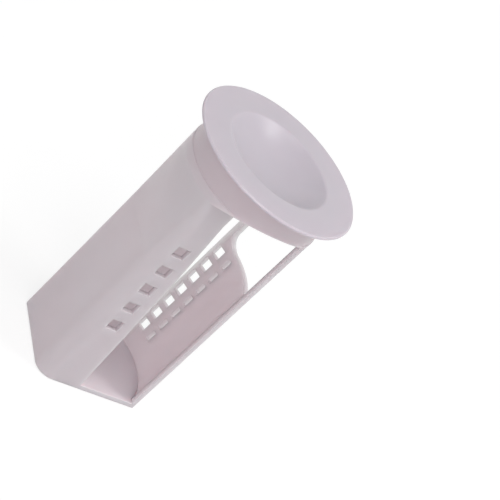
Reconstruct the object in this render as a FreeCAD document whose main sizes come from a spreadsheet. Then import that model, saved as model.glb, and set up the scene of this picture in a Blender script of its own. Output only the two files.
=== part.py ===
import FreeCAD
import Part
import Sketcher
import math
import os

# Washer pump filter: a one-piece polypropylene moulding that stands on its closed end.
# Z runs up the axis to the flange. The solid front plate is on the -X side, the perforated
# rear wall on the +X side, the tapered strip and the wide opening on the -Y side, and the
# closed side wall on the +Y side.

# Driving dimensions, in millimetres and pieces
DIMENSIONS = {
    "wall": 1.8,
    "floor_thickness": 2.2,
    "basket_length": 89.4,
    "shoulder_rise": 4.6,
    "collar_length": 8.8,
    "basket_diameter": 50.0,
    "collar_step": 0.26,
    "band_height": 3.0,
    "flange_diameter": 60.0,
    "flange_thickness": 1.2,
    "flange_edge": 0.4,
    "dish_diameter": 38.0,
    "dish_depth": 7.0,
    "dish_lip_round": 1.6,
    "dish_floor_diameter": 15.4,
    "basket_width": 31.2,
    "corner_round": 6.0,
    "edge_round": 0.8,
    "shoulder_round": 4.0,
    "flare_length": 31.0,
    "strip_width_top": 9.3,
    "strip_width_middle": 12.4,
    "strip_width_foot": 16.2,
    "rear_wall_setback": 0.1,
    "rear_post_width": 1.6,
    "side_slot_width": 4.4,
    "strip_hole_width": 4.6,
    "strip_hole_height": 4.5,
    "strip_hole_pitch": 9.12,
    "strip_hole_count": 5,
    "strip_hole_first": 31.5,
    "strip_hole_first_inset": 8.1,
    "strip_hole_last_inset": 5.85,
    "window_width": 25.8,
    "window_sill": 58.2,
    "window_round": 5.0,
    "grid_hole_height": 4.5,
    "grid_pitch": 6.69,
    "grid_count": 7,
    "grid_first": 13.2,
    "edge_hole_offset": 12.25,
    "slot_offset": 7.35,
    "edge_hole_width": 3.3,
    "slot_width": 1.4,
}

SHEET = "dimensions"
# How far a cutting sketch runs past the material
CUT_MARGIN = 1.0
# Numbers by which a sketch knows its own axes, and the points of its edges
ORIGIN, VERTICAL_AXIS = range(-1, -3, -1)
START, END, CENTRE = range(1, 4)

doc = FreeCAD.newDocument("washer_pump_filter")


def make_sheet():
    """Write the driving dimensions to a spreadsheet, one named cell each."""
    sheet = doc.addObject("Spreadsheet::Sheet", SHEET)
    for row, (alias, value) in enumerate(DIMENSIONS.items(), start=1):
        sheet.set(f"A{row}", alias)
        sheet.set(f"B{row}", str(value))
        sheet.setAlias(f"B{row}", alias)
    doc.recompute()
    return sheet


sheet = make_sheet()


def bound(text):
    """Turn a formula in dimension names into an expression on the sheet, in millimetres."""
    words = sorted(DIMENSIONS, key=len, reverse=True)
    for number, word in enumerate(words):
        text = text.replace(word, f"<{number}>")
    for number, word in enumerate(words):
        text = text.replace(f"<{number}>", f"{SHEET}.{word}")
    return f"({text}) * 1 mm"


def value_of(text):
    """The present value of a formula, in millimetres."""
    quantity = sheet.evalExpression(bound(text))
    return float(getattr(quantity, "Value", quantity))


# Lengths that several features share, as formulas on the sheet
FLANGE_UNDERSIDE = "basket_length + shoulder_rise + collar_length"
OVERALL_HEIGHT = f"{FLANGE_UNDERSIDE} + flange_thickness"
BASKET_RADIUS = "basket_diameter / 2"
COLLAR_RADIUS = f"({BASKET_RADIUS} - collar_step)"
HALF_WIDTH = "basket_width / 2"
# The basket's four corners lie on one circle
PLATE_DISTANCE = f"sqrt(({BASKET_RADIUS}) ^ 2 - ({HALF_WIDTH}) ^ 2)"
REAR_EDGE = f"{PLATE_DISTANCE} - rear_wall_setback"
REAR_POST = f"{PLATE_DISTANCE} - rear_post_width"
DISH_RADIUS = "((dish_diameter / 2) ^ 2 + dish_depth ^ 2) / (2 * dish_depth)"
SHOULDER_SLOPE = f"shoulder_rise / ({COLLAR_RADIUS} - {HALF_WIDTH})"


class Outline:
    """A sketch on one of the body's own origin planes, with its sizes bound to the sheet."""

    def __init__(self, body, name, plane, height=None):
        self.sketch = body.newObject("Sketcher::SketchObject", name)
        support = [f for f in body.Origin.OriginFeatures if f.Role == plane][0]
        self.sketch.AttachmentSupport = (support, [""])
        self.sketch.MapMode = "FlatFace"
        if height:
            self.sketch.setExpression("AttachmentOffset.Base.z", bound(height))

    def line(self, start, end, construction=False):
        segment = Part.LineSegment(FreeCAD.Vector(*start, 0), FreeCAD.Vector(*end, 0))
        return self.sketch.addGeometry(segment, construction)

    def arc(self, centre, radius, first_degrees, last_degrees):
        circle = Part.Circle(FreeCAD.Vector(*centre, 0), FreeCAD.Vector(0, 0, 1), radius)
        first, last = math.radians(first_degrees), math.radians(last_degrees)
        return self.sketch.addGeometry(Part.ArcOfCircle(circle, first, last))

    def circle(self, radius):
        ring = Part.Circle(FreeCAD.Vector(0, 0, 0), FreeCAD.Vector(0, 0, 1), value_of(radius))
        edge = self.sketch.addGeometry(ring)
        self.fix("Coincident", edge, CENTRE, ORIGIN, START)
        self.size("Radius", edge, formula=radius)

    def fix(self, kind, *where):
        return self.sketch.addConstraint(Sketcher.Constraint(kind, *where))

    def size(self, kind, *where, formula):
        index = self.fix(kind, *where, value_of(formula))
        self.sketch.setExpression(f"Constraints[{index}]", bound(formula))

    def place(self, edge, point, x=None, y=None):
        """Hold a point of an edge at a formula's distance from the origin."""
        if x is not None:
            self.size("DistanceX", ORIGIN, START, edge, point, formula=x)
        if y is not None:
            self.size("DistanceY", ORIGIN, START, edge, point, formula=y)

    def chain(self, edges, joints):
        """Join edges end to end; each joint is a meeting (Coincident) or a smooth run (Tangent)."""
        following = edges[1:] + edges[:1]
        for edge, after, joint in zip(edges, following, joints):
            self.fix(joint, edge, END, after, START)

    def polygon(self, corners):
        """A closed outline of straight edges through corners given as pairs of formulas."""
        points = [(value_of(x), value_of(y)) for x, y in corners]
        edges = [self.line(a, b) for a, b in zip(points, points[1:] + points[:1])]
        self.chain(edges, ["Coincident"] * len(edges))
        for edge, (x, y) in zip(edges, corners):
            self.place(edge, START, x, y)

    def rectangle(self, centre_x, centre_y, width, height):
        """A plain rectangle, all four sizes given as formulas."""
        low_x, high_x = f"{centre_x} - ({width}) / 2", f"{centre_x} + ({width}) / 2"
        low_y, high_y = f"{centre_y} - ({height}) / 2", f"{centre_y} + ({height}) / 2"
        self.polygon([(low_x, low_y), (high_x, low_y), (high_x, high_y), (low_x, high_y)])

    def rounded_rectangle(self, centre_x, centre_y, width, height, corner):
        """A rectangle with four equal rounded corners, all five sizes given as formulas."""
        x, y = value_of(centre_x), value_of(centre_y)
        w, h, r = value_of(width) / 2, value_of(height) / 2, value_of(corner)
        top = self.line((x + w - r, y + h), (x - w + r, y + h))
        upper_left = self.arc((x - w + r, y + h - r), r, 90, 180)
        left = self.line((x - w, y + h - r), (x - w, y - h + r))
        lower_left = self.arc((x - w + r, y - h + r), r, 180, 270)
        bottom = self.line((x - w + r, y - h), (x + w - r, y - h))
        lower_right = self.arc((x + w - r, y - h + r), r, 270, 360)
        right = self.line((x + w, y - h + r), (x + w, y + h - r))
        upper_right = self.arc((x + w - r, y + h - r), r, 0, 90)
        loop = [top, upper_left, left, lower_left, bottom, lower_right, right, upper_right]
        self.chain(loop, ["Tangent"] * len(loop))
        for edge in (top, bottom):
            self.fix("Horizontal", edge)
        for edge in (left, right):
            self.fix("Vertical", edge)
        for edge in (lower_left, lower_right, upper_right):
            self.fix("Equal", upper_left, edge)
        self.size("Radius", upper_left, formula=corner)
        self.place(left, START, x=f"{centre_x} - ({width}) / 2")
        self.place(right, START, x=f"{centre_x} + ({width}) / 2")
        self.place(bottom, START, y=f"{centre_y} - ({height}) / 2")
        self.place(top, START, y=f"{centre_y} + ({height}) / 2")


def degrees_between(one, other):
    return math.degrees(one.getAngle(other))


def checked(feature):
    """Recompute the document and stop at the first feature that fails."""
    doc.recompute()
    if not feature.isValid() or feature.Shape.isNull() or not feature.Shape.isValid():
        raise RuntimeError(f"{feature.Name} failed")
    return feature


def pad(body, outline, name, length):
    feature = body.newObject("PartDesign::Pad", name)
    feature.Profile = outline.sketch
    feature.setExpression("Length", bound(length))
    return checked(feature)


def pocket(body, outline, name, way):
    """Cut an outline right through: along its sketch's normal, against it, or both ways."""
    before = body.Shape.Volume
    feature = body.newObject("PartDesign::Pocket", name)
    feature.Profile = outline.sketch
    feature.Type = "ThroughAll"
    if way == "both":
        feature.SideType = "Symmetric"
    feature.Reversed = way == "along"
    checked(feature)
    if feature.Shape.Volume > before - 1.0:
        raise RuntimeError(f"{name} cuts nothing")
    return feature


def pattern(body, feature, name, axis, spacing, count):
    """Repeat a cut along an axis of its own sketch."""
    row = body.newObject("PartDesign::LinearPattern", name)
    row.Originals = [feature]
    row.Direction = (feature.Profile[0], [axis])
    row.Mode = "Spacing"
    row.setExpression("Offset", bound(spacing))
    row.setExpression("Occurrences", f"{SHEET}.{count}")
    body.Tip = row
    return checked(row)


def fix_sides(outline, sides, corners, corner, inset):
    """Hold the two flat sides at the basket's width and round the two front corners."""
    for edge in sides:
        outline.fix("Horizontal", edge)
    outline.place(sides[0], START, y=f"{HALF_WIDTH} - {inset}")
    outline.place(sides[1], START, y=f"{inset} - {HALF_WIDTH}")
    outline.size("Radius", corners[0], formula="edge_round")
    outline.size("Radius", corners[1], formula=f"{corner} - {inset}")


def flat_front(outline, back_edge, back_x, inset):
    """Join the flat plate, its sharp and its round corner and both sides to a rear edge."""
    half, plate = value_of(f"{HALF_WIDTH} - {inset}"), value_of(f"{PLATE_DISTANCE} - {inset}")
    sharp, round_ = value_of("edge_round"), value_of(f"corner_round - {inset}")
    left = outline.line((back_x, half), (sharp - plate, half))
    left_corner = outline.arc((sharp - plate, half - sharp), sharp, 90, 180)
    front = outline.line((-plate, half - sharp), (-plate, round_ - half))
    right_corner = outline.arc((round_ - plate, round_ - half), round_, 180, 270)
    right = outline.line((round_ - plate, -half), (back_x, -half))
    join_loop(outline, [back_edge, left, left_corner, front, right_corner, right])
    fix_sides(outline, (left, right), (left_corner, right_corner), "corner_round", inset)
    outline.fix("Vertical", front)
    outline.place(front, START, x=f"{inset} - {PLATE_DISTANCE}")


def round_front(outline, back_edge, back_x, inset):
    """The same loop where the plate has become part of the collar's circle."""
    radius, half = value_of(f"{BASKET_RADIUS} - {inset}"), value_of(f"{HALF_WIDTH} - {inset}")
    sharp, round_ = value_of("edge_round"), value_of(f"shoulder_round - {inset}")
    left_centre, left_lean = corner_on_circle(radius, half, sharp)
    right_centre, right_lean = corner_on_circle(radius, half, round_)
    left = outline.line((back_x, half), (left_centre.x, half))
    left_corner = outline.arc((left_centre.x, left_centre.y), sharp, 90, 180 - left_lean)
    front = outline.arc((0, 0), radius, 180 - left_lean, 180 + right_lean)
    right_corner = outline.arc((right_centre.x, -right_centre.y), round_, 180 + right_lean, 270)
    right = outline.line((right_centre.x, -half), (back_x, -half))
    join_loop(outline, [back_edge, left, left_corner, front, right_corner, right])
    fix_sides(outline, (left, right), (left_corner, right_corner), "shoulder_round", inset)
    outline.fix("Coincident", front, CENTRE, ORIGIN, START)
    outline.size("Radius", front, formula=f"{BASKET_RADIUS} - {inset}")


def corner_on_circle(radius, half, corner):
    """Centre and slant of a corner arc between a flat side and the collar's circle."""
    away = ((radius - corner) ** 2 - (half - corner) ** 2) ** 0.5
    centre = FreeCAD.Vector(-away, half - corner, 0)
    return centre, degrees_between(centre, FreeCAD.Vector(-1, 0, 0))


def join_loop(outline, edges):
    """Close a plan: the rear edge meets both sides, and the front corners run smoothly."""
    smooth, meet = "Tangent", "Coincident"
    outline.chain(edges, [meet, smooth, smooth, smooth, smooth, meet])


def plan_outline(body, name, inset):
    """Basket in plan: a flat plate, two flat sides and a round rear wall."""
    outline = Outline(body, name, "XY_Plane", height=f"floor_thickness * ({inset}) / wall")
    radius, half = value_of(f"{BASKET_RADIUS} - {inset}"), value_of(f"{HALF_WIDTH} - {inset}")
    rear_end = FreeCAD.Vector((radius ** 2 - half ** 2) ** 0.5, half, 0)
    lean = degrees_between(rear_end, FreeCAD.Vector(1, 0, 0))
    rear = outline.arc((0, 0), radius, -lean, lean)
    flat_front(outline, rear, rear_end.x, inset)
    outline.fix("Coincident", rear, CENTRE, ORIGIN, START)
    outline.size("Radius", rear, formula=f"{BASKET_RADIUS} - {inset}")
    return outline


def flare_outline(body, name, inset, height, front):
    """Front half of the plan, closed across the axis."""
    outline = Outline(body, name, "XY_Plane", height=height)
    half = value_of(f"{HALF_WIDTH} - {inset}")
    middle = outline.line((0, -half), (0, half))
    outline.fix("PointOnObject", middle, START, VERTICAL_AXIS)
    outline.fix("PointOnObject", middle, END, VERTICAL_AXIS)
    front(outline, middle, 0, inset)
    return outline


def shoulder_cut_outline(body, name, inset):
    """Wedges outside the two flat sides, below the slope that carries the collar's overhang."""
    outline = Outline(body, name, "YZ_Plane")
    foot = f"basket_length + ({inset}) * (sqrt(1 + ({SHOULDER_SLOPE}) ^ 2) - {SHOULDER_SLOPE})"
    rim = f"{foot} + ({SHOULDER_SLOPE}) * ({BASKET_RADIUS} + {CUT_MARGIN} - {HALF_WIDTH} + {inset})"
    below = f"basket_length - {CUT_MARGIN}"
    near, far = f"{HALF_WIDTH} - {inset}", f"{BASKET_RADIUS} + {CUT_MARGIN}"
    for side in ("1", "-1"):
        corners = [(near, below), (far, below), (far, rim), (near, foot)]
        outline.polygon([(f"{side} * ({y})", z) for y, z in corners])
    return outline


def add_ring(body, name, radius, length):
    """A round length on top of the basket."""
    ring = Outline(body, f"{name}_ring", "XY_Plane", height="basket_length")
    ring.circle(radius)
    pad(body, ring, name, length)


def envelope(body, prefix, inset):
    """Basket, flare, band, collar and shoulder as one solid, set in from the outside."""
    height = f"basket_length - floor_thickness * ({inset}) / wall"
    pad(body, plan_outline(body, f"{prefix}_plan", inset), f"{prefix}_basket", height)
    foot = flare_outline(body, f"{prefix}_flare_foot", inset, "basket_length - flare_length", flat_front)
    top = flare_outline(body, f"{prefix}_flare_top", inset, "basket_length", round_front)
    flare = body.newObject("PartDesign::AdditiveLoft", f"{prefix}_flare")
    flare.Profile = foot.sketch
    flare.Sections = [top.sketch]
    flare.Ruled = True
    checked(flare)
    add_ring(body, f"{prefix}_band", f"{BASKET_RADIUS} - {inset}", f"band_height - {inset}")
    add_ring(body, f"{prefix}_collar", f"{COLLAR_RADIUS} - {inset}", "shoulder_rise + collar_length")
    pocket(body, shoulder_cut_outline(body, f"{prefix}_shoulder_slope", inset), f"{prefix}_shoulder", "both")


def cap_outline(body):
    """Half section of the flange and the dish that is sunk in its outer face."""
    outline = Outline(body, "cap_section", "XZ_Plane")
    top, under = value_of(OVERALL_HEIGHT), value_of(FLANGE_UNDERSIDE)
    bowl, wall, lip = value_of(DISH_RADIUS), value_of("wall"), value_of("dish_lip_round")
    rim, edge = value_of("flange_diameter / 2"), value_of("flange_edge")
    floor, flat = top - value_of("dish_depth"), value_of("dish_floor_diameter / 2")
    inner = value_of(f"{COLLAR_RADIUS} - wall")
    centre = floor + bowl
    lip_x = ((bowl + lip) ** 2 - (centre - top + lip) ** 2) ** 0.5
    to_lip = FreeCAD.Vector(lip_x, top - lip - centre, 0)
    lean = degrees_between(to_lip, FreeCAD.Vector(0, -1, 0))
    dish = outline.arc((0, centre), bowl, 270, 270 + lean)
    lip_arc = outline.arc((lip_x, top - lip), lip, 90, 90 + lean)
    face = outline.line((lip_x, top), (rim - edge, top))
    upper_edge = outline.line((rim - edge, top), (rim, top - edge))
    side = outline.line((rim, top - edge), (rim, under + edge))
    lower_edge = outline.line((rim, under + edge), (rim - edge, under))
    underside = outline.line((rim - edge, under), (inner, under))
    back = outline.line((inner, under), (flat, floor - wall))
    back_floor = outline.line((flat, floor - wall), (0, floor - wall))
    axis = outline.line((0, floor - wall), (0, floor))
    outline.fix("Tangent", dish, END, lip_arc, END)
    outline.fix("Tangent", lip_arc, START, face, START)
    straight = [face, upper_edge, side, lower_edge, underside, back, back_floor, axis]
    for edge_before, edge_after in zip(straight, straight[1:] + [dish]):
        outline.fix("Coincident", edge_before, END, edge_after, START)
    for flat_edge in (face, underside, back_floor):
        outline.fix("Horizontal", flat_edge)
    outline.fix("Vertical", side)
    outline.fix("PointOnObject", dish, CENTRE, VERTICAL_AXIS)
    outline.fix("PointOnObject", axis, START, VERTICAL_AXIS)
    outline.fix("PointOnObject", axis, END, VERTICAL_AXIS)
    outline.size("Radius", dish, formula=DISH_RADIUS)
    outline.size("Radius", lip_arc, formula="dish_lip_round")
    outline.place(face, END, "flange_diameter / 2 - flange_edge", OVERALL_HEIGHT)
    outline.place(side, START, "flange_diameter / 2", f"{OVERALL_HEIGHT} - flange_edge")
    outline.place(side, END, y=f"{FLANGE_UNDERSIDE} + flange_edge")
    outline.place(underside, START, "flange_diameter / 2 - flange_edge", FLANGE_UNDERSIDE)
    outline.place(back, START, x=f"{COLLAR_RADIUS} - wall")
    outline.place(back_floor, START, "dish_floor_diameter / 2", f"{OVERALL_HEIGHT} - dish_depth - wall")
    outline.place(dish, START, y=f"{OVERALL_HEIGHT} - dish_depth")
    return outline


def add_cap(body):
    cap = body.newObject("PartDesign::Revolution", "cap")
    section = cap_outline(body)
    cap.Profile = section.sketch
    cap.ReferenceAxis = (section.sketch, ["V_Axis"])
    cap.Angle = 360.0
    return checked(cap)


def cut_side_openings(body):
    """Wide opening between the tapered strip and the rear post, and a slot on the closed side."""
    opening = Outline(body, "opening_outline", "XZ_Plane")
    opening.polygon([
        (f"strip_width_foot - {PLATE_DISTANCE}", "floor_thickness"),
        (REAR_POST, "floor_thickness"),
        (REAR_POST, "basket_length"),
        (f"strip_width_top - {PLATE_DISTANCE}", "basket_length"),
        (f"strip_width_middle - {PLATE_DISTANCE}", "basket_length - flare_length"),
    ])
    pocket(body, opening, "side_opening", "along")
    slot = Outline(body, "slot_outline", "XZ_Plane")
    slot.rectangle(f"{REAR_EDGE} - side_slot_width / 2", "(floor_thickness + basket_length) / 2",
                   "side_slot_width", "basket_length - floor_thickness")
    pocket(body, slot, "side_slot", "against")


def cut_strip_holes(body):
    """A row of holes down the side strip, leaning a little with its taper."""
    top = "strip_hole_first + strip_hole_pitch * (strip_hole_count - 1)"
    first = (f"strip_hole_first_inset - {PLATE_DISTANCE}", "strip_hole_first")
    last = (f"strip_hole_last_inset - {PLATE_DISTANCE}", top)
    outline = Outline(body, "strip_hole_outline", "XZ_Plane")
    outline.rectangle(*first, "strip_hole_width", "strip_hole_height")
    row = outline.line(*[(value_of(x), value_of(z)) for x, z in (first, last)], construction=True)
    outline.place(row, START, *first)
    outline.place(row, END, *last)
    hole = pocket(body, outline, "strip_hole", "along")
    pattern(body, hole, "strip_holes", "Axis0", "strip_hole_pitch", "strip_hole_count")


def cut_window(body):
    """Large window in the rear wall, between its sill and the collar."""
    outline = Outline(body, "window_outline", "YZ_Plane")
    outline.rounded_rectangle("0", "(window_sill + basket_length) / 2",
                              "window_width", "basket_length - window_sill", "window_round")
    pocket(body, outline, "window", "along")


def cut_grid(body):
    """Perforated rear wall: a column of wide holes by the slot, and finer slots beside them."""
    outline = Outline(body, "grid_outline", "YZ_Plane")
    outline.rectangle("edge_hole_offset", "grid_first", "edge_hole_width", "grid_hole_height")
    outline.rectangle("slot_offset", "grid_first", "slot_width", "grid_hole_height")
    holes = pocket(body, outline, "grid_row", "along")
    pattern(body, holes, "grid", "V_Axis", "grid_pitch", "grid_count")


def round_foot(body):
    """Break the outer edge of the closed end, on which the filter stands."""
    solid = body.Tip
    edges = []
    for number, edge in enumerate(solid.Shape.Edges, start=1):
        if edge.BoundBox.ZMax < value_of("floor_thickness") / 4:
            edges.append(f"Edge{number}")
    fillet = body.newObject("PartDesign::Fillet", "foot_rounding")
    fillet.Base = (solid, edges)
    fillet.setExpression("Radius", bound("edge_round"))
    body.Tip = fillet
    return checked(fillet)


def build_filter():
    cavity = doc.addObject("PartDesign::Body", "cavity")
    envelope(cavity, "inside", "wall")
    body = doc.addObject("PartDesign::Body", "pump_filter")
    body.Label = "pump_filter"
    envelope(body, "outside", "0")
    hollow = body.newObject("PartDesign::Boolean", "hollow")
    hollow.Type = "Cut"
    hollow.setObjects([cavity])
    body.Tip = hollow
    checked(hollow)
    add_cap(body)
    cut_side_openings(body)
    cut_strip_holes(body)
    cut_window(body)
    cut_grid(body)
    round_foot(body)
    return body


def check_document():
    """Stop if any object of the document has failed."""
    doc.recompute()
    for thing in doc.Objects:
        if "Invalid" in thing.State or "Error" in thing.State:
            raise RuntimeError(f"{thing.Name}: {thing.State}")


def export(sub_parts):
    os.makedirs("parts", exist_ok=True)
    for part in sub_parts:
        if part.Shape.isNull() or not part.Shape.isValid():
            raise RuntimeError(f"{part.Label} has no valid shape")
        part.Shape.exportStep(f"parts/{part.Label}.step")


sub_parts = [build_filter()]
check_document()
export(sub_parts)
for part in sub_parts:
    box = part.Shape.BoundBox
    print(part.Label, "solids", len(part.Shape.Solids), "volume", round(part.Shape.Volume, 1))
    print("size", round(box.XLength, 2), round(box.YLength, 2), round(box.ZLength, 2))
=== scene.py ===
import math
import bpy
from mathutils import Matrix, Vector


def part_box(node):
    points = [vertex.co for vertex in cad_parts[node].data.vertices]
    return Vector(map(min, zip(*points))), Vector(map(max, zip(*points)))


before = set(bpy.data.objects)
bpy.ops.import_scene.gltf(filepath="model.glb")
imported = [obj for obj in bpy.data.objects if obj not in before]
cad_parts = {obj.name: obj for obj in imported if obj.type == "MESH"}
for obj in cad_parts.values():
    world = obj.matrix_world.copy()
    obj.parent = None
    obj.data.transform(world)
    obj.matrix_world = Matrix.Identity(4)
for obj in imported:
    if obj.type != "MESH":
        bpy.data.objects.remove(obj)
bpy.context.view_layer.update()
LOW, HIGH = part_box("pump_filter")

# Camera: its place in metres, the direction it looks from, and its roll in the photograph
EYE = Vector((-0.32431, -0.39042, 0.35468))
AZIMUTH = math.radians(-41.245)
ELEVATION = math.radians(28.877)
ROLL = math.radians(46.712)
FOCAL_PX = 1851.85
IMAGE_PX = 500
SENSOR_MM = 36.0

# Lamps: plan angle and height in degrees, size and distance in metres
LAMPS = {
    "key": {"plan": 250, "height": 65, "size": 0.35, "watts": 2.0},
    "front": {"plan": 230, "height": 25, "size": 0.50, "watts": 1.8},
    "back": {"plan": 330, "height": 15, "size": 0.80, "watts": 1.0},
    "top": {"plan": 333, "height": 62, "size": 0.20, "watts": 1.8},
}
LAMP_DISTANCE = 0.9
SKY_STRENGTH = 0.45
WHITE = (1.0, 1.0, 1.0)

# Natural polypropylene: milky, in two tones that drift into each other, with painted light on the
# basket's floor and painted light and shade on the cap
PLASTIC = (0.65, 0.572, 0.610)
PLASTIC_SHADE = (0.64, 0.542, 0.580)
# Painted light: the upward face of the basket's floor is made lighter than the walls
PLASTIC_FLOOR_PAINTED_LIGHT = (0.80, 0.73, 0.765)
# Painted light and shade: the cap gets the cool tint of a lit face and a tone darkened against the
# lamps above
PLASTIC_CAP_PAINTED_LIGHT_AND_SHADE = (0.552, 0.508, 0.560)
PLASTIC_IOR = 1.49

# Where the tones change, from and to: heights and the dish's radius in metres, and how level a face is
FOOT = (LOW.z + 0.0024, LOW.z + 0.0040)
CAP = (HIGH.z - 0.016, HIGH.z - 0.008)
FLANGE = (HIGH.z - 0.0020, HIGH.z - 0.0010)
DISH = (0.0185, 0.0215)
LEVEL = (0.6, 0.9)

# How far light goes into the thin basket, its floor and the stiffer cap, and its reach by colour
BASKET_GLOW = 0.0110
FLOOR_GLOW = 0.0015
CAP_GLOW = 0.0020
GLOW_BY_COLOUR = (1.0, 0.85, 0.85)

# Textures, as scale and detail, the middle stretch of a texture's values, and what they vary
CLOUDS = (45.0, 3.0)
SMEARS = (160.0, 4.0)
WAVES = (220.0, 3.0)
TEXTURE_MIDDLE = (0.3, 0.7)
CLOUD_SHARE = (0.35, 1.0)
ROUGHNESS = (0.30, 0.40)
WAVE_STRENGTH = 0.06
WAVE_DEPTH = 0.0006

# Soft edges: their radius in metres, and the samples that find it
EDGE_ROUND = 0.0004
EDGE_SAMPLES = 4

# Floor: tone to bounced light, tone to the camera, and a glow to the camera that grows with distance
STAGE_SIZE = 6.0
STAGE_TONE = (0.80, 0.80, 0.80)
STAGE_SEEN_TONE = (0.30, 0.30, 0.30)
STAGE_GLOW = (0.74, 0.82)
STAGE_REACH = (0.10, 0.60)


def set_input(node, name, value):
    node.inputs[name].default_value = value


def rgba(colour):
    return (*colour, 1.0)


def new_material(name):
    material = bpy.data.materials.new(name)
    material.use_nodes = True
    material.node_tree.nodes.clear()
    return material, material.node_tree


def show(tree, shader):
    output = tree.nodes.new("ShaderNodeOutputMaterial")
    tree.links.new(shader, output.inputs["Surface"])


def noise(tree, place, scale, detail):
    texture = tree.nodes.new("ShaderNodeTexNoise")
    set_input(texture, "Scale", scale)
    set_input(texture, "Detail", detail)
    tree.links.new(place, texture.inputs["Vector"])
    return texture.outputs["Fac"]


def spread(tree, value, low, high, start, stop):
    """Map the stretch of a value from start to stop onto the range from low to high."""
    ramp = tree.nodes.new("ShaderNodeMapRange")
    set_input(ramp, "From Min", start)
    set_input(ramp, "From Max", stop)
    set_input(ramp, "To Min", low)
    set_input(ramp, "To Max", high)
    tree.links.new(value, ramp.inputs["Value"])
    return ramp.outputs["Result"]


def join(tree, operation, first, second):
    node = tree.nodes.new("ShaderNodeMath")
    node.operation = operation
    tree.links.new(first, node.inputs[0])
    tree.links.new(second, node.inputs[1])
    return node.outputs["Value"]


def upward(tree, vector):
    axes = tree.nodes.new("ShaderNodeSeparateXYZ")
    tree.links.new(vector, axes.inputs["Vector"])
    return axes.outputs["Z"]


def from_axis(tree, place):
    """The distance from the part's upright axis."""
    across = tree.nodes.new("ShaderNodeVectorMath")
    across.operation = "MULTIPLY"
    set_input(across, 1, (1.0, 1.0, 0.0))
    tree.links.new(place, across.inputs[0])
    radius = tree.nodes.new("ShaderNodeVectorMath")
    radius.operation = "LENGTH"
    tree.links.new(across.outputs["Vector"], radius.inputs[0])
    return radius.outputs["Value"]


def blend(tree, first, second, share):
    """Mix two colours, each given as a colour or as another node's output."""
    mix = tree.nodes.new("ShaderNodeMix")
    mix.data_type = "RGBA"
    for name, colour in (("A", first), ("B", second)):
        if isinstance(colour, tuple):
            set_input(mix, name, rgba(colour))
        else:
            tree.links.new(colour, mix.inputs[name])
    tree.links.new(share, mix.inputs["Factor"])
    return mix.outputs["Result"]


def floor_share(tree, normal, height):
    """One on the upper face of the basket's floor, nothing on the walls."""
    level = spread(tree, upward(tree, normal), 0.0, 1.0, *LEVEL)
    return join(tree, "MULTIPLY", level, spread(tree, height, 1.0, 0.0, *FOOT))


def cap_share(tree, place, height):
    """One on the flange and in the dish, nothing on the collar and the basket."""
    inside = spread(tree, from_axis(tree, place), 1.0, 0.0, *DISH)
    dish = join(tree, "MULTIPLY", inside, spread(tree, height, 0.0, 1.0, *CAP))
    return join(tree, "MAXIMUM", dish, spread(tree, height, 0.0, 1.0, *FLANGE))


def plastic_glow(tree, height, floor):
    """How far light goes into the plastic: far in the thin walls, less in the floor and the cap."""
    upper = spread(tree, height, BASKET_GLOW, CAP_GLOW, *CAP)
    lower = spread(tree, floor, BASKET_GLOW, FLOOR_GLOW, 0.0, 1.0)
    return join(tree, "MINIMUM", upper, lower)


def plastic_tone(tree, place, height, floor):
    """Cloudy walls, painted light on the basket's floor, and painted light and shade on the cap."""
    cloudy = spread(tree, noise(tree, place, *CLOUDS), *CLOUD_SHARE, *TEXTURE_MIDDLE)
    walls = blend(tree, PLASTIC_SHADE, PLASTIC, cloudy)
    # Painted light: the upward face of the basket's floor is made lighter than the walls
    basket = blend(tree, walls, PLASTIC_FLOOR_PAINTED_LIGHT, floor)
    # Painted light and shade: the cap gets the cool tint of a lit face and a tone darkened against the
    # lamps above
    return blend(tree, basket, PLASTIC_CAP_PAINTED_LIGHT_AND_SHADE, cap_share(tree, place, height))


def plastic_normal(tree, place):
    """Soft edges and a faint waviness."""
    edges = tree.nodes.new("ShaderNodeBevel")
    edges.samples = EDGE_SAMPLES
    set_input(edges, "Radius", EDGE_ROUND)
    bump = tree.nodes.new("ShaderNodeBump")
    set_input(bump, "Strength", WAVE_STRENGTH)
    set_input(bump, "Distance", WAVE_DEPTH)
    tree.links.new(noise(tree, place, *WAVES), bump.inputs["Height"])
    tree.links.new(edges.outputs["Normal"], bump.inputs["Normal"])
    return bump.outputs["Normal"]


def milky_plastic():
    """Satin moulded plastic with cloudy tone, uneven gloss, faint waviness and soft edges, painted
    light on the basket's floor, and painted light and shade on the cap.
    """
    material, tree = new_material("milky_plastic")
    spot = tree.nodes.new("ShaderNodeTexCoord")
    place = spot.outputs["Object"]
    height = upward(tree, place)
    floor = floor_share(tree, spot.outputs["Normal"], height)
    body = tree.nodes.new("ShaderNodeBsdfPrincipled")
    set_input(body, "IOR", PLASTIC_IOR)
    set_input(body, "Subsurface Weight", 1.0)
    set_input(body, "Subsurface Radius", GLOW_BY_COLOUR)
    sources = {
        "Subsurface Scale": plastic_glow(tree, height, floor),
        "Base Color": plastic_tone(tree, place, height, floor),
        "Roughness": spread(tree, noise(tree, place, *SMEARS), *ROUGHNESS, *TEXTURE_MIDDLE),
        "Normal": plastic_normal(tree, place),
    }
    for name, source in sources.items():
        tree.links.new(source, body.inputs[name])
    show(tree, body.outputs["BSDF"])
    return material


def seen_directly(tree):
    """One for rays that show the surroundings: to the camera, in gloss and through clear material."""
    path = tree.nodes.new("ShaderNodeLightPath")
    direct = join(tree, "MAXIMUM", path.outputs["Is Camera Ray"], path.outputs["Is Glossy Ray"])
    return join(tree, "MAXIMUM", direct, path.outputs["Is Transmission Ray"])


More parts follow.
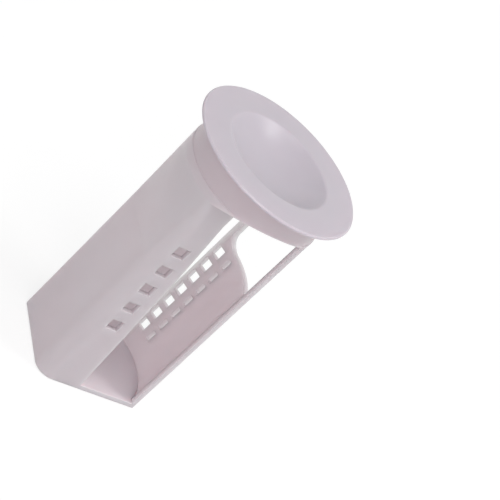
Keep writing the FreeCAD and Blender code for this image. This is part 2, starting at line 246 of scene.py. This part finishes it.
def white_floor():
    """Pale floor that looks white to the camera and still takes the object's soft shadow."""
    material, tree = new_material("floor")
    plain = tree.nodes.new("ShaderNodeBsdfDiffuse")
    set_input(plain, "Color", rgba(STAGE_TONE))
    shaded = tree.nodes.new("ShaderNodeBsdfDiffuse")
    set_input(shaded, "Color", rgba(STAGE_SEEN_TONE))
    glow = tree.nodes.new("ShaderNodeEmission")
    spot = tree.nodes.new("ShaderNodeTexCoord")
    away = from_axis(tree, spot.outputs["Object"])
    tree.links.new(spread(tree, away, *STAGE_GLOW, *STAGE_REACH), glow.inputs["Strength"])
    seen = tree.nodes.new("ShaderNodeAddShader")
    tree.links.new(shaded.outputs["BSDF"], seen.inputs[0])
    tree.links.new(glow.outputs["Emission"], seen.inputs[1])

    choose = tree.nodes.new("ShaderNodeMixShader")
    tree.links.new(seen_directly(tree), choose.inputs["Fac"])
    tree.links.new(plain.outputs["BSDF"], choose.inputs[1])
    tree.links.new(seen.outputs["Shader"], choose.inputs[2])
    show(tree, choose.outputs["Shader"])
    return material


def add_floor():
    bpy.ops.mesh.primitive_plane_add(size=STAGE_SIZE, location=(0.0, 0.0, 0.0))
    floor = bpy.context.object
    floor.name = "floor"
    floor.data.materials.append(white_floor())


def add_light(name, lamp, target):
    plan, height = math.radians(lamp["plan"]), math.radians(lamp["height"])
    reach = math.cos(height)
    towards = Vector((math.cos(plan) * reach, math.sin(plan) * reach, math.sin(height)))
    data = bpy.data.lights.new(name, "AREA")
    data.energy = lamp["watts"]
    data.size = lamp["size"]
    light = bpy.data.objects.new(name, data)
    light.location = target + towards * LAMP_DISTANCE
    light.rotation_euler = towards.to_track_quat("Z", "Y").to_euler()
    bpy.context.scene.collection.objects.link(light)


def add_sky():
    """Even light from all round, under a background that looks white."""
    world = bpy.data.worlds.new("sky")
    world.use_nodes = True
    tree = world.node_tree
    background = tree.nodes["Background"]
    set_input(background, "Color", rgba(WHITE))
    strength = spread(tree, seen_directly(tree), SKY_STRENGTH, 1.0, 0.0, 1.0)
    tree.links.new(strength, background.inputs["Strength"])
    bpy.context.scene.world = world


def add_camera():
    """The photograph's camera, turned about its own axis by the roll."""
    reach = math.cos(ELEVATION)
    back = Vector((math.sin(AZIMUTH) * reach, -math.cos(AZIMUTH) * reach, math.sin(ELEVATION)))
    level = Vector((math.cos(AZIMUTH), math.sin(AZIMUTH), 0.0))
    up = back.cross(level) * math.cos(ROLL) - level * math.sin(ROLL)
    right = up.cross(back)
    data = bpy.data.cameras.new("camera")
    data.sensor_width = SENSOR_MM
    data.lens = SENSOR_MM * FOCAL_PX / IMAGE_PX
    camera = bpy.data.objects.new("camera", data)
    turn = Matrix((right, up, back)).transposed().to_4x4()
    camera.matrix_world = Matrix.Translation(EYE) @ turn
    bpy.context.scene.collection.objects.link(camera)
    bpy.context.scene.camera = camera


def dress(part, material):
    part.data.materials.clear()
    part.data.materials.append(material)


filter_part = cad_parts["pump_filter"]
dress(filter_part, milky_plastic())
add_floor()
for name, lamp in LAMPS.items():
    add_light(name, lamp, (LOW + HIGH) / 2)
add_sky()
add_camera()
bpy.context.scene.view_settings.view_transform = "Standard"
